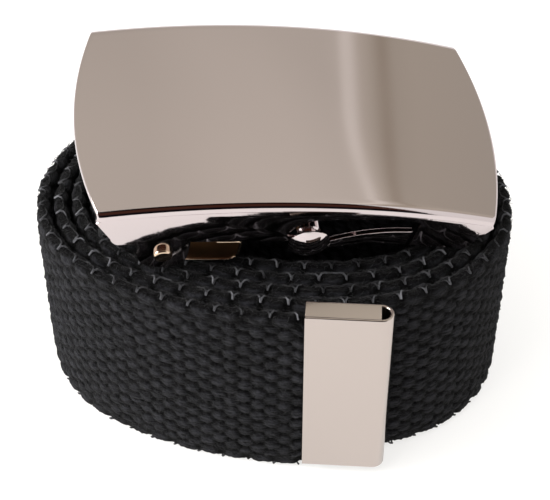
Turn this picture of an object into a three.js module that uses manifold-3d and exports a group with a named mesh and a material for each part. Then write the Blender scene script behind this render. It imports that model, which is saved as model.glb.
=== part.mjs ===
// Canvas web belt with a roller slide buckle, rolled up on its edge.
// Millimetres, +Z up. The buckle lies face up on the roll, the metal tip is in front (-Y).
import * as THREE from 'three';
import { mergeVertices } from 'three/addons/utils/BufferGeometryUtils.js';
import Module from 'manifold-3d';

const wasm = await Module();
wasm.setup();

// Web
const webWidth = 38;
const webThickness = 2.8;
const webEdgeRound = 0.7;

// Roll, seen from above: an oval whose front half is shallower and flatter than its back half
const rollHalfLength = 48.3;
const rollFrontDepth = 36.9;
const rollBackDepth = 44;
const rollTurnDeg = -8.8;
const rollFrontFlat = 0.14;
const layerGap = 0.6;
const rollTurns = 4.6;
const stationsPerTurn = 44;
const joinStep = 0.05;
const stationsPerSpan = 5;
const smallTurn = 0.004;

// Tip
const tipLength = 15.4;
const tipSheet = 0.6;
const tipFit = 0.3;
const tipLeftX = 4.83;
const tipStandOff = 0.7;
const tipFlareTurns = 0.15;
const tipFlapShort = 4.2;

// Buckle frame
const sheet = 1.0;
const webSideRoom = 1.25;
const faceLength = 70.5;
const endBulge = 3.8;
const faceBowRadius = 162;
const bendRadius = 1.6;
const wallDepth = 10.5;
const wallEdgeRadius = 240;
const wallCornerRound = 2.2;
const wallEndSlant = 2.6;
const webUnderFace = 0.35;
const shoulderDrop = 0.2;
const wallEndLean = 0.4;
const spare = 2;

// Clamp
const pinBack = 11.8;
const pinDepth = 14.8;
const pinRadius = 1.7;
const pinProud = 0.9;
const pinChamfer = 0.4;
const runningGap = 0.3;
const earHalfWidth = 4.6;
const earTipRadius = 4.8;
const leverSheet = 0.8;
const leverReach = 13.9;
const leverTop = 12.9;
const leverBottom = 18.7;
const leverCorner = 2.6;
const leverEyeRadius = 3.0;
const jawBack = 3.4;
const jawTip = 0.55;
const webEndInset = 27.2;

// Roller
const rollerRadius = 2.4;
const journalRadius = 1.7;
const capRadius = 3.8;
const capThickness = 1.0;
const capDome = 0.5;
const capCrown = 0.1;
const rollerRestU = 2.2;
const rollerRestDepth = 10.4;
const travelRadius = 28.8;
const travelCentreU = 18.8;
const travelDeg = 36.5;
const slotTopDepth = 3.4;
const slotTopSlope = 0.5;
const slotEndSlope = 3;
const slotEndDrop = 1.2;
const slotBelly = 4.2;
const slotBellyRise = 1.7;
const slitWidth = 0.8;
const slitLean = 0.3;
const lobeWall = 1.5;
const lobeEnd = 50;
const lobeRun = 10.5;

// How the buckle lies on the roll
const buckleX = 3.03;
const buckleY = -7.89;
const buckleYawDeg = 29.2;
const buckleTiltDeg = 21.3;
const buckleSpinDeg = -21.4;
const restGap = 0.3;
const sameCorner = 1e-5;

const degrees = Math.PI / 180;
const pitch = webThickness + layerGap;
const halfThick = webThickness / 2;
const halfWidth = webWidth / 2 + webSideRoom + sheet;
const innerHalf = halfWidth - sheet;
const halfFace = faceLength / 2;
const pinU = -halfFace + pinBack;
const webEndU = -halfFace + webEndInset;
const travelCentreDepth = rollerRestDepth + Math.sqrt(travelRadius ** 2 - (travelCentreU - rollerRestU) ** 2);
const slotHalf = journalRadius + runningGap;
const faceBow = (u) => -(u * u) / (2 * faceBowRadius);
const wallEdge = (u) => -wallDepth - (u * u) / (2 * wallEdgeRadius);
const webMidDepth = (u) => faceBow(u) - sheet - webUnderFace - halfThick;

const webCloth = new THREE.MeshStandardMaterial({ color: 0x1b1c1f, roughness: 0.95, metalness: 0 });
const nickel = new THREE.MeshStandardMaterial({ color: 0xd9cfc6, roughness: 0.12, metalness: 1 });
const brightSteel = new THREE.MeshStandardMaterial({ color: 0xc9b9a8, roughness: 0.22, metalness: 1 });

// Solids for joining and cutting

function toSolid(geometry) {
  const bare = geometry.clone();
  bare.deleteAttribute('normal');
  bare.deleteAttribute('uv');
  const merged = mergeVertices(bare, sameCorner);
  return new wasm.Manifold(new wasm.Mesh({
    numProp: 3,
    vertProperties: new Float32Array(merged.attributes.position.array),
    triVerts: new Uint32Array(merged.index.array),
  }));
}

function toGeometry(solid) {
  const mesh = solid.getMesh();
  const geometry = new THREE.BufferGeometry();
  geometry.setAttribute('position', new THREE.BufferAttribute(new Float32Array(mesh.vertProperties), 3));
  geometry.setIndex(new THREE.BufferAttribute(new Uint32Array(mesh.triVerts), 1));
  geometry.computeVertexNormals();
  return geometry;
}

// A closed body through sections of equally many points; its ends are closed with capFaces.
function loft(sections, capFaces) {
  const count = sections[0].length;
  const points = sections.flat();
  const index = [];
  for (let s = 0; s + 1 < sections.length; s += 1) {
    for (let k = 0; k < count; k += 1) {
      const a = s * count + k;
      const b = s * count + (k + 1) % count;
      index.push(a, b, a + count, b, b + count, a + count);
    }
  }
  const last = (sections.length - 1) * count;
  for (const [a, b, c] of capFaces) {
    index.push(c, b, a, last + a, last + b, last + c);
  }
  const geometry = new THREE.BufferGeometry().setFromPoints(points);
  geometry.setIndex(index);
  geometry.computeVertexNormals();
  return geometry;
}

// Triangles that fill an outline, each running the same way round as the outline
function facesOf(outline) {
  const way = Math.sign(THREE.ShapeUtils.area(outline));
  return THREE.ShapeUtils.triangulateShape(outline.slice(), []).map(([a, b, c]) => {
    const turn = THREE.ShapeUtils.area([outline[a], outline[b], outline[c]]);
    return Math.sign(turn) === way ? [a, b, c] : [c, b, a];
  });
}

// An outline in the buckle's u-n plane, extruded across the buckle from one w to another.
function acrossBuckle(shape, fromW, toW, curveSegments = 10) {
  const geometry = new THREE.ExtrudeGeometry(shape, {
    depth: toW - fromW, bevelEnabled: false, curveSegments, steps: 1,
  });
  geometry.rotateX(Math.PI / 2);
  geometry.translate(0, toW, 0);
  return geometry;
}

// Roll of web, seen from above

function rollPoint(turns) {
  const angle = -Math.PI / 2 - 2 * Math.PI * turns;
  const side = Math.sin(angle);
  const flareStart = tipStartTurns + tipFlareTurns;
  const flare = turns < flareStart ? tipStandOff * ((flareStart - turns) / tipFlareTurns) ** 2 : 0;
  const inset = halfThick + pitch * Math.max(turns, 0) - flare;
  const x = (rollHalfLength - inset) * Math.cos(angle);
  const flatter = side < 0 ? 1 + rollFrontFlat * Math.cos(angle) ** 2 : 1;
  const y = ((side < 0 ? rollFrontDepth : rollBackDepth) - inset) * side * flatter;
  return new THREE.Vector3(x, y, webWidth / 2).applyAxisAngle(up, rollTurnDeg * degrees);
}

const up = new THREE.Vector3(0, 0, 1);
const tipStartTurns = -Math.asin((tipLeftX - rollFrontDepth * Math.sin(rollTurnDeg * degrees))
  / rollHalfLength) / (2 * Math.PI);

// Turns wound where the strap passes the roll's left side, front and back for the last time,
// and how far the hollow inside it reaches there
const lastPass = { left: 4.25, front: 4, back: 4.5 };
const hollow = {
  halfLength: rollHalfLength - pitch * lastPass.left - webThickness,
  front: rollFrontDepth - pitch * lastPass.front - webThickness,
  back: rollBackDepth - pitch * lastPass.back - webThickness,
};

// Buckle's place: three turns, and as high as its lowest edge needs to rest on the roll

const buckle = new THREE.Group();
const buckleTilt = new THREE.Group();
const buckleSpin = new THREE.Group();
buckle.rotation.z = buckleYawDeg * degrees;
buckleTilt.rotation.x = buckleTiltDeg * degrees;
buckleSpin.rotation.z = buckleSpinDeg * degrees;
buckle.add(buckleTilt);
buckleTilt.add(buckleSpin);
buckle.position.set(buckleX, buckleY, 0);
buckle.updateMatrixWorld(true);

function lowestOf(geometries) {
  const point = new THREE.Vector3();
  let lowest = Infinity;
  for (const geometry of geometries) {
    const position = geometry.attributes.position;
    for (let i = 0; i < position.count; i += 1) {
      point.fromBufferAttribute(position, i).applyMatrix4(buckleSpin.matrixWorld);
      lowest = Math.min(lowest, point.z);
    }
  }
  return lowest;
}

// Buckle frame

function channelSection() {
  const outer = [];
  const inner = [];
  const deep = -leverBottom - earTipRadius;
  const steps = 4;
  outer.push([-halfWidth, deep]);
  inner.push([-innerHalf, deep]);
  for (const side of [-1, 1]) {
    for (let k = 0; k <= steps; k += 1) {
      const share = side < 0 ? k / steps : 1 - k / steps;
      const angle = share * Math.PI / 2;
      const w = side * (halfWidth - bendRadius + bendRadius * Math.cos(angle));
      outer.push([w, -bendRadius + bendRadius * Math.sin(angle)]);
      const small = bendRadius - sheet;
      inner.push([side * (halfWidth - bendRadius + small * Math.cos(angle)),
        -bendRadius + small * Math.sin(angle)]);
    }
  }
  outer.push([halfWidth, deep]);
  inner.push([innerHalf, deep]);
  return [...inner, ...outer.reverse()].map(([w, n]) => new THREE.Vector2(w, n));
}

function bowedChannel() {
  const section = channelSection();
  const reach = halfFace + endBulge + spare;
  const count = 26;
  const sections = [];
  for (let k = 0; k <= count; k += 1) {
    const u = -reach + (2 * reach * k) / count;
    sections.push(section.map((p) => new THREE.Vector3(u, p.x, p.y + faceBow(u))));
  }
  return toSolid(loft(sections, facesOf(section)));
}

// Seen square on to the face: straight long sides and slightly round ends
function planOutline() {
  const shape = new THREE.Shape();
  const count = 10;
  const half = halfWidth + spare / 2;
  const endU = (w) => halfFace + endBulge * (1 - (w / halfWidth) ** 2);
  for (const side of [1, -1]) {
    for (let k = 0; k <= count; k += 1) {
      const w = -side * half + (2 * side * half * k) / count;
      const u = side * endU(w);
      if (side === 1 && k === 0) shape.moveTo(u, w);
      else shape.lineTo(u, w);
    }
  }
  return shape;
}

// Seen from the side: slanted wall ends, lower edge, ear and the lobe under the roller
function wallOutline() {
  const reach = halfFace + endBulge + spare / 2;
  const shoulder = faceBow(halfFace + endBulge) - sheet - shoulderDrop;
  const cornerU = halfFace - wallEndSlant;
  const shape = new THREE.Shape();
  shape.moveTo(-reach, spare);
  shape.lineTo(-reach, shoulder);
  shape.lineTo(-halfFace - wallEndLean, shoulder);
  shape.lineTo(-cornerU - wallEndLean, wallEdge(cornerU) + wallCornerRound);
  shape.quadraticCurveTo(-cornerU, wallEdge(cornerU), -cornerU + wallCornerRound, wallEdge(cornerU));
  shape.lineTo(pinU - earHalfWidth, wallEdge(pinU - earHalfWidth));
  shape.lineTo(pinU - earHalfWidth, -pinDepth);
  shape.quadraticCurveTo(pinU - earHalfWidth, -pinDepth - earTipRadius, pinU, -pinDepth - earTipRadius);
  shape.quadraticCurveTo(pinU + earHalfWidth, -pinDepth - earTipRadius, pinU + earHalfWidth, -pinDepth);
  shape.lineTo(pinU + earHalfWidth, wallEdge(pinU + earHalfWidth));
  const lobe = slotHalf + lobeWall;
  const lobeSide = Math.acos(Math.min(1, (wallDepth - rollerRestDepth) / lobe));
  shape.absarc(rollerRestU, -rollerRestDepth, lobe, -Math.PI / 2 - lobeSide, -lobeEnd * degrees, false);
  const railStart = rollerRestU + lobeRun;
  const steps = 5;
  for (let k = 0; k <= steps; k += 1) {
    const u = railStart + ((cornerU - wallCornerRound - railStart) * k) / steps;
    shape.lineTo(u, wallEdge(u));
  }
  shape.quadraticCurveTo(cornerU, wallEdge(cornerU),
    cornerU + wallEndLean, wallEdge(cornerU) + wallCornerRound);
  shape.lineTo(halfFace + wallEndLean, shoulder);
  shape.lineTo(reach, shoulder);
  shape.lineTo(reach, spare);
  return shape;
}

// Where the roller's middle stands in the wall after turning by an angle about the travel centre
function rollerPlace(angle) {
  const start = Math.atan2(-rollerRestDepth + travelCentreDepth, rollerRestU - travelCentreU);
  return [travelCentreU + travelRadius * Math.cos(start - angle),
    -travelCentreDepth + travelRadius * Math.sin(start - angle)];
}

// The comma-shaped slot: a round pocket, a curved rail to the right end and a straight top
function slotOutline() {
  const shape = new THREE.Shape();
  const [endU] = rollerPlace(travelDeg * degrees);
  const right = endU + slotHalf;
  const steps = 10;
  const lower = (angle) => {
    const [u, n] = rollerPlace(angle);
    const out = Math.atan2(n + travelCentreDepth, u - travelCentreU);
    return [u - slotHalf * Math.cos(out), n - slotHalf * Math.sin(out)];
  };
  shape.moveTo(right, -slotTopDepth - slotEndDrop);
  shape.lineTo(right, lower(travelDeg * degrees)[1]);
  for (let k = steps; k >= 0; k -= 1) shape.lineTo(...lower((travelDeg * degrees * k) / steps));
  const start = Math.atan2(...lower(0).map((v, i) => v - rollerPlace(0)[i]).reverse());
  shape.absarc(rollerRestU, -rollerRestDepth, slotHalf, start, -Math.PI, true);
  shape.lineTo(rollerRestU - slotBelly, -rollerRestDepth + slotBellyRise);
  shape.quadraticCurveTo(rollerRestU - 0.8 * slotBelly, -slotTopDepth - slotBellyRise,
    rollerRestU + 0.2 * slotBelly, -slotTopDepth - slotTopSlope);
  shape.lineTo(right - slotEndSlope, -slotTopDepth);
  return shape;
}

// The narrow cut from the slot's right end through the wall's lower edge
function slitOutline() {
  const [endU] = rollerPlace(travelDeg * degrees);
  const right = endU + slotHalf;
  const shape = new THREE.Shape();
  const above = -slotTopDepth - slotEndSlope;
  const below = -wallDepth - 2 * spare;
  shape.moveTo(right - slitWidth, above);
  shape.lineTo(right - slitWidth - slitLean, below);
  shape.lineTo(right - slitLean, below);
  shape.lineTo(right, above);
  return shape;
}

function frameGeometry() {
  const beyond = halfWidth + spare / 2;
  const plan = new THREE.ExtrudeGeometry(planOutline(), { depth: webWidth, bevelEnabled: false });
  plan.translate(0, 0, spare - webWidth);
  const wall = acrossBuckle(wallOutline(), -beyond, beyond);
  const slot = acrossBuckle(slotOutline(), -beyond, beyond);
  const slit = acrossBuckle(slitOutline(), -beyond, beyond);
  const pinHole = new THREE.CylinderGeometry(pinRadius + runningGap, pinRadius + runningGap, 2 * beyond, 16);
  pinHole.translate(pinU, 0, -pinDepth);
  const solid = bowedChannel()
    .intersect(toSolid(plan))
    .intersect(toSolid(wall))
    .subtract(toSolid(slot))
    .subtract(toSolid(slit))
    .subtract(toSolid(pinHole));
  return toGeometry(solid);
}

// Roller: bar, a journal through each wall and a domed cap outside it

function rollerGeometry() {
  const barEnd = innerHalf - runningGap;
  const capStart = halfWidth + runningGap;
  const capEnd = capStart + capThickness;
  const half = [[rollerRadius, 0], [rollerRadius, barEnd], [journalRadius, barEnd],
    [journalRadius, capStart], [capRadius, capStart], [capRadius, capEnd - capDome],
    [capRadius - capDome, capEnd - capCrown], [0, capEnd]];
  const profile = [
    ...half.slice(1).reverse().map(([r, w]) => new THREE.Vector2(r, -w)),
    ...half.map(([r, w]) => new THREE.Vector2(r, w)).slice(1),
  ];
  return new THREE.LatheGeometry(profile, 20);
}

// Clamp: pin and lever

function pinGeometry() {
  const end = halfWidth + pinProud;
  const corners = [[0, -end], [pinRadius - pinChamfer, -end], [pinRadius, -end + pinChamfer],
    [pinRadius, end - pinChamfer], [pinRadius - pinChamfer, end], [0, end]];
  return new THREE.LatheGeometry(corners.map(([r, w]) => new THREE.Vector2(r, w)), 16);
}

function leverGeometry() {
  const cheekOut = innerHalf - runningGap;
  const cheekIn = cheekOut - leverSheet;
  const right = pinU + leverReach;
  const cheek = new THREE.Shape();
  cheek.moveTo(right, -leverTop);
  cheek.lineTo(pinU + leverEyeRadius, -leverTop);
  cheek.lineTo(pinU, -pinDepth + leverEyeRadius);
  cheek.absarc(pinU, -pinDepth, leverEyeRadius, Math.PI / 2, Math.PI, false);
  cheek.lineTo(pinU - leverEyeRadius, -leverBottom + leverCorner);
  cheek.quadraticCurveTo(pinU - leverEyeRadius, -leverBottom,
    pinU - leverEyeRadius + leverCorner, -leverBottom);
  cheek.lineTo(right - leverCorner, -leverBottom);
  cheek.quadraticCurveTo(right, -leverBottom, right, -leverBottom + leverCorner);
  // The sheet between the cheeks: handle plate below, bent up behind the pin to the jaw's edge
  const left = pinU - leverEyeRadius;
  const jawTop = webMidDepth(pinU) - halfThick - runningGap;
  const plate = new THREE.Shape();
  plate.moveTo(right - leverCorner, -leverBottom);
  plate.lineTo(right - leverCorner, -leverBottom + leverSheet);
  plate.lineTo(left + leverCorner, -leverBottom + leverSheet);
  plate.lineTo(left + leverSheet, -leverBottom + leverCorner);
  plate.lineTo(left + leverSheet, -pinDepth + jawBack);
  plate.lineTo(pinU + jawTip, jawTop);
  plate.lineTo(pinU - jawTip, jawTop);
  plate.lineTo(left, -pinDepth + jawBack + leverSheet);
  plate.lineTo(left, -leverBottom + leverCorner);
  plate.lineTo(left + leverCorner - leverSheet, -leverBottom);
  const hole = new THREE.CylinderGeometry(pinRadius + runningGap, pinRadius + runningGap, 2 * halfWidth, 16);
  hole.translate(pinU, 0, -pinDepth);
  const solid = toSolid(acrossBuckle(plate, -cheekOut, cheekOut))
    .add(toSolid(acrossBuckle(cheek, -cheekOut, -cheekIn)))
    .add(toSolid(acrossBuckle(cheek, cheekIn, cheekOut)))
    .subtract(toSolid(hole));
  return toGeometry(solid);
}

// Tip: a plate folded round the web's end, with a flap over each edge of the web

function tipGeometry() {
  const inner = halfThick + tipFit;
  const outer = inner + tipSheet;
  const straight = tipLength - outer;
  const fold = new THREE.Shape();
  fold.moveTo(0, -outer);
  fold.lineTo(straight, -outer);
  fold.absarc(straight, 0, outer, -Math.PI / 2, Math.PI / 2, false);
  fold.lineTo(0, outer);
  fold.lineTo(0, inner);
  fold.lineTo(straight, inner);
  fold.absarc(straight, 0, inner, Math.PI / 2, -Math.PI / 2, true);
  fold.lineTo(0, -inner);
  const body = new THREE.ExtrudeGeometry(fold, { depth: webWidth, bevelEnabled: false, curveSegments: 10 });
  let solid = toSolid(body);
  const flapDepth = outer + halfThick;
  for (const bottom of [0, webWidth - tipSheet]) {
    const flap = new THREE.BoxGeometry(tipLength - tipFlapShort, flapDepth, tipSheet);
    flap.translate((tipLength - tipFlapShort) / 2, -outer + flapDepth / 2, bottom + tipSheet / 2);
    solid = solid.add(toSolid(flap));
  }
  return toGeometry(solid);
}

// Web: one strap from inside the tip, round the roll, up through the hollow and into the clamp

const frame = frameGeometry();
const lever = leverGeometry();
buckle.position.z = webWidth + restGap - lowestOf([frame, lever]);
buckle.updateMatrixWorld(true);

const inBuckle = (u, w, n) => new THREE.Vector3(u, w, n).applyMatrix4(buckleSpin.matrixWorld);
const buckleAcross = new THREE.Vector3(0, 1, 0).transformDirection(buckleSpin.matrixWorld);

const tipJoin = rollPoint(tipStartTurns);
const tipAlong = rollPoint(tipStartTurns).sub(rollPoint(tipStartTurns + smallTurn)).normalize();

// Stations where the strap climbs out of the roll's hollow: place as shares of the hollow's
// half length and of its front (-) or back (+) depth, rise above the roll's middle as a share
// of the web's width, and the direction across the web.
const climb = [
  { along: 0.845, deep: 0.36, rise: 0.053, across: [0.05, 0.07, 1.00] },
  { along: 0.87, deep: -0.124, rise: 0.145, across: [0.12, 0.16, 0.98] },
  { along: 0.578, deep: -0.322, rise: 0.237, across: [0.11, 0.32, 0.94] },
  { along: 0.204, deep: -0.124, rise: 0.303, across: [0.16, 0.54, 0.82] },
  { along: -0.289, deep: 0.116, rise: 0.447, across: [0.16, 0.77, 0.61] },
];

// Stations where it folds round under the buckle's left end, from the clamp pin: towards the
// left end as a share of the pin's distance from it, across as a share of the buckle's inside
// half width, and below the face as a share of the lever's depth.
const underBuckle = [
  { left: -0.55, across: 0.466, below: 1.128 },
  { left: 0.708, across: 0.253, below: 1.155 },
  { left: 0.735, across: 0.025, below: 0.61 },
  { left: 0.558, across: 0, below: 0.326 },
];

function leadStations() {
  const centres = [];
  const acrosses = [];
  for (const back of [2, 1, 0]) {
    centres.push(rollPoint(rollTurns - back * joinStep));
    acrosses.push(up.clone());
  }
  for (const row of climb) {
    const depth = row.deep < 0 ? hollow.front : hollow.back;
    centres.push(new THREE.Vector3(row.along * hollow.halfLength, row.deep * depth,
      webWidth * (0.5 + row.rise)));
    acrosses.push(new THREE.Vector3(...row.across).normalize());
  }
  for (const row of underBuckle) {
    centres.push(inBuckle(pinU - row.left * pinBack, row.across * innerHalf, -row.below * leverBottom));
    acrosses.push(buckleAcross.clone());
  }
  for (let k = 0; k <= 2; k += 1) {
    const u = pinU + ((webEndU - pinU) * k) / 2;
    centres.push(inBuckle(u, 0, webMidDepth(u)));
    acrosses.push(buckleAcross.clone());
  }
  return [centres, acrosses];
}

function webStations() {
  const stations = [];
  const narrow = webWidth - 2 * (tipSheet + tipFit);
  const straight = tipLength - halfThick - tipFit - tipSheet;
  const inTip = (distance) => tipJoin.clone().addScaledVector(tipAlong, distance);
  stations.push({ centre: inTip(straight), across: up, width: narrow });
  stations.push({ centre: inTip(straight / 2), across: up, width: narrow });
  stations.push({ centre: inTip(-tipFit), across: up, width: narrow });
  stations.push({ centre: inTip(-tipFit - webEdgeRound), across: up, width: webWidth });
  const first = tipStartTurns + 1.5 / stationsPerTurn;
  const last = rollTurns - joinStep;
  const count = Math.round((last - first) * stationsPerTurn);
  for (let k = 0; k <= count; k += 1) {
    const turns = first + ((last - first) * k) / count;
    stations.push({ centre: rollPoint(turns), across: up, width: webWidth });
  }
  const [centres, acrosses] = leadStations();
  const centreLine = new THREE.CatmullRomCurve3(centres, false, 'catmullrom', 0.5);
  const acrossLine = new THREE.CatmullRomCurve3(acrosses, false, 'catmullrom', 0.5);
  const spans = centres.length - 1;
  for (let k = stationsPerSpan + 2; k <= spans * stationsPerSpan; k += 1) {
    const share = k / (spans * stationsPerSpan);
    const centre = centreLine.getPoint(share);
    const across = acrossLine.getPoint(share).normalize();
    const lowEdge = (webWidth / 2) * across.z + halfThick * Math.hypot(across.x, across.y);
    centre.z = Math.max(centre.z, lowEdge);
    stations.push({ centre, across, width: webWidth });
  }
  return stations;
}

function webGeometry() {
  const stations = webStations();
  const sections = stations.map(({ centre, across, width }, i) => {
    const before = stations[Math.max(i - 1, 0)].centre;
    const after = stations[Math.min(i + 1, stations.length - 1)].centre;
    const along = new THREE.Vector3().subVectors(after, before).normalize();
    const side = new THREE.Vector3().crossVectors(along, across).normalize();
    const half = width / 2;
    const corner = webEdgeRound;
    const corners = [[half, halfThick - corner], [half - corner, halfThick],
      [-half + corner, halfThick], [-half, halfThick - corner],
      [-half, -halfThick + corner], [-half + corner, -halfThick],
      [half - corner, -halfThick], [half, -halfThick + corner]];
    return corners.map(([a, s]) => centre.clone().addScaledVector(across, a).addScaledVector(side, s));
  });
  const capFaces = [];
  for (let k = 1; k + 1 < sections[0].length; k += 1) capFaces.push([0, k, k + 1]);
  return loft(sections, capFaces);
}

// Assembly

function piece(name, geometry, material) {
  const mesh = new THREE.Mesh(geometry, material);
  mesh.name = name;
  return mesh;
}

const belt = new THREE.Group();
const roll = new THREE.Group();
belt.add(roll);

roll.add(piece('web', webGeometry(), webCloth));

const tip = piece('tip', tipGeometry(), nickel);
tip.position.copy(tipJoin).setZ(0);
tip.rotation.z = Math.atan2(tipAlong.y, tipAlong.x);
roll.add(tip);

buckleSpin.add(piece('buckle_frame', frame, nickel));
buckleSpin.add(piece('clamp_lever', lever, brightSteel));
const pin = piece('clamp_pin', pinGeometry(), brightSteel);
pin.position.set(pinU, 0, -pinDepth);
buckleSpin.add(pin);
const roller = piece('roller', rollerGeometry(), brightSteel);
roller.position.set(rollerRestU, 0, -rollerRestDepth);
buckleSpin.add(roller);
roll.add(buckle);

// The belt stands with the middle of its outline over the origin and its lower edge on z = 0
const box = new THREE.Box3().setFromObject(belt, true);
roll.position.set(-(box.min.x + box.max.x) / 2, -(box.min.y + box.max.y) / 2, -box.min.z);

export default belt;
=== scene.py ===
"""Looks of the canvas web belt: woven cotton webbing rolled up on its edge, a bright nickel-plated
roller slide buckle lying on the roll, and a folded nickel-plated tip. Shapes are worked out in
millimetres in the CAD's own frame and put into the meshes in metres."""

import bpy
import numpy as np
from math import asin, cos, pi, radians, sin
from mathutils import Matrix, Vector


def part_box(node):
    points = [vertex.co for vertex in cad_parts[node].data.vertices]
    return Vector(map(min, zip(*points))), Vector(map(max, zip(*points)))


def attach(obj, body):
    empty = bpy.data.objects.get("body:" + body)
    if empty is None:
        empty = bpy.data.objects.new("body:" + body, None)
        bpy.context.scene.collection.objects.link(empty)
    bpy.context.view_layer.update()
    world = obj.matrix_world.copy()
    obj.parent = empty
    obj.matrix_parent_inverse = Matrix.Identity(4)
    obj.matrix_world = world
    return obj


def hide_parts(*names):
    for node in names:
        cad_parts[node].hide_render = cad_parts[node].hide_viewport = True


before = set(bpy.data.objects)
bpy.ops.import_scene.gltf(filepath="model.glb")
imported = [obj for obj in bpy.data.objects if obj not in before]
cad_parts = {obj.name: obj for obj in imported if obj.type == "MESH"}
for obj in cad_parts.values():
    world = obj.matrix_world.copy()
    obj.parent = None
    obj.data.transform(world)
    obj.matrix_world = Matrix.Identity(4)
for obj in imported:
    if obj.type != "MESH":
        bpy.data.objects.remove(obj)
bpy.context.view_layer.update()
MM = 0.001

# Roll of web, as in the CAD
WEB_WIDTH = 38.0
WEB_THICK = 2.8
LAYER_GAP = 0.6
PITCH = WEB_THICK + LAYER_GAP
ROLL_HALF = 48.3
ROLL_FRONT = 36.9
ROLL_BACK = 44.0
ROLL_TURN = radians(-8.8)
ROLL_FLAT = 0.14
ROLL_TURNS = 4.6
TIP_LEFT = 4.83
TIP_STAND_OFF = 0.7
TIP_FLARE = 0.15
TIP_START = -asin((TIP_LEFT - ROLL_FRONT * sin(ROLL_TURN)) / ROLL_HALF) / (2 * pi)
JOIN_STEP = 0.05
LEAD_IN_STOP = 4.0

# Tip
TIP_LENGTH = 15.4
TIP_SHEET = 0.6
TIP_FIT = 0.3
TIP_FLAP_SHORT = 4.2
TIP_TOP_FLAP_SHORT = 2.2
TIP_RAISED = 2.2
TIP_TOP = WEB_WIDTH + 0.9
TOP_FLAP_LIFT = 0.36
TOP_FLAP_SLOPE = 0.3
TAPER_RUN = 1.6

# Buckle
SHEET = 1.0
HALF_WIDTH = 21.25
INNER_HALF = HALF_WIDTH - SHEET
HALF_FACE = 35.25
END_BULGE = 3.8
BOW_RADIUS = 162.0
BEND_RADIUS = 1.6
WALL_DEPTH = 10.5
WALL_EDGE_RADIUS = 240.0
WALL_CORNER = 2.2
WALL_SLANT = 2.6
WALL_LEAN = 0.4
WEB_UNDER_FACE = 0.35
PIN_BACK = 11.8
PIN_DEPTH = 14.8
PIN_RADIUS = 1.7
PIN_PROUD = 0.9
RUNNING_GAP = 0.3
EAR_HALF = 4.6
EAR_TIP = 4.8
LEVER_SHEET = 0.8
LEVER_REACH = 13.9
LEVER_TOP = 12.9
LEVER_BOTTOM = 18.7
LEVER_CORNER = 2.6
LEVER_EYE = 3.0
LEVER_RIM = 0.3
LEVER_RIM_START = 9.3
JAW_BACK = 3.4
JAW_TIP = 0.55
WEB_END = 27.2
ROLLER_RADIUS = 2.4
JOURNAL_RADIUS = 1.7
CAP_RADIUS = 3.8
CAP_DOME = 1.35
REST_U = 2.2
REST_DEPTH = 10.4
TRAVEL_RADIUS = 28.8
TRAVEL_U = 18.8
TRAVEL = radians(36.5)
SLOT_TOP = 3.4
SLOT_SLOPE = 0.5
SLOT_END_SLOPE = 3.0
SLOT_END_DROP = 1.2
SLOT_BELLY = 4.2
SLOT_BELLY_RISE = 1.7
SLIT = 0.8
SLIT_LEAN = 0.3
LOBE_WALL = 1.5
LOBE_END = radians(50)
LOBE_RUN = 10.5
PIN_U = -HALF_FACE + PIN_BACK
WEB_END_U = -HALF_FACE + WEB_END
SLOT_HALF = JOURNAL_RADIUS + RUNNING_GAP
TRAVEL_DEPTH = REST_DEPTH + (TRAVEL_RADIUS**2 - (TRAVEL_U - REST_U) ** 2) ** 0.5
BUCKLE_X = 3.03
BUCKLE_Y = -7.89
BUCKLE_Z = 61.227
BUCKLE_YAW = radians(29.2)
BUCKLE_TILT = radians(21.3)
BUCKLE_SPIN = radians(-21.4)

# Weave: warp floats in staggered columns on the faces, rounded knuckles over both edges
COLUMN = 2.45
ROW = WEB_WIDTH / 13
CORE = 0.86
EDGE_A = 17.62
FLOAT_RISE = 0.72
FLOAT_HALF_LONG = 1.62
FLOAT_HALF_WIDE = 1.46
KNUCKLE_PITCH = 2 * COLUMN
KNUCKLE_RISE = 0.52
KNUCKLE_HALF_LONG = 2.12
KNUCKLE_HALF_ROUND = 1.85
KNUCKLE_ROW = 1.35
HOLE_HALF_LONG = 1.15
HOLE_HALF_ROUND = 0.5
HOLE_PLACE = -0.15
HOLE_DEPTH = 1.9
HOLE_FLOOR = -1.0
EDGE_OFFSET = 0.3
FACE_STARTS = 2.0
FACE_BLEND = 1.2
YARN_ROUGH = 0.075

# Loose threads
THREAD_THIN = 0.09
THREAD_SWELL = 0.11
THREAD_SIDES = 5
THREAD_STEP = 0.35
HAIRS = 13000
HAIRS_ON_EDGES = 0.72
HAIR_RADII = (0.05, 0.045, 0.015)


def turn(axis, angle):
    """Rotation matrix about X (0) or Z (2)."""
    c, s = cos(angle), sin(angle)
    if axis == 2:
        return np.array([[c, -s, 0], [s, c, 0], [0, 0, 1.0]])
    return np.array([[1.0, 0, 0], [0, c, -s], [0, s, c]])


BUCKLE_AXES = turn(2, BUCKLE_YAW) @ turn(0, BUCKLE_TILT) @ turn(2, BUCKLE_SPIN)


def roll_points(turns):
    """Middle of the strap after some turns: an oval spiral with a shallower front half, flared out
    a little towards the tip, turned in plan. Returns x, y in millimetres before the shift."""
    turns = np.asarray(turns, float)
    angle = -pi / 2 - 2 * pi * turns
    flare_share = np.clip((TIP_START + TIP_FLARE - turns) / TIP_FLARE, 0, None)
    inset = WEB_THICK / 2 + PITCH * np.maximum(turns, 0) - TIP_STAND_OFF * flare_share**2
    x = (ROLL_HALF - inset) * np.cos(angle)
    depth = np.where(np.sin(angle) < 0, ROLL_FRONT, ROLL_BACK)
    flatter = np.where(np.sin(angle) < 0, 1 + ROLL_FLAT * np.cos(angle) ** 2, 1.0)
    y = (depth - inset) * np.sin(angle) * flatter
    c, s = cos(ROLL_TURN), sin(ROLL_TURN)
    return np.stack([x * c - y * s, x * s + y * c], -1)


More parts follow.
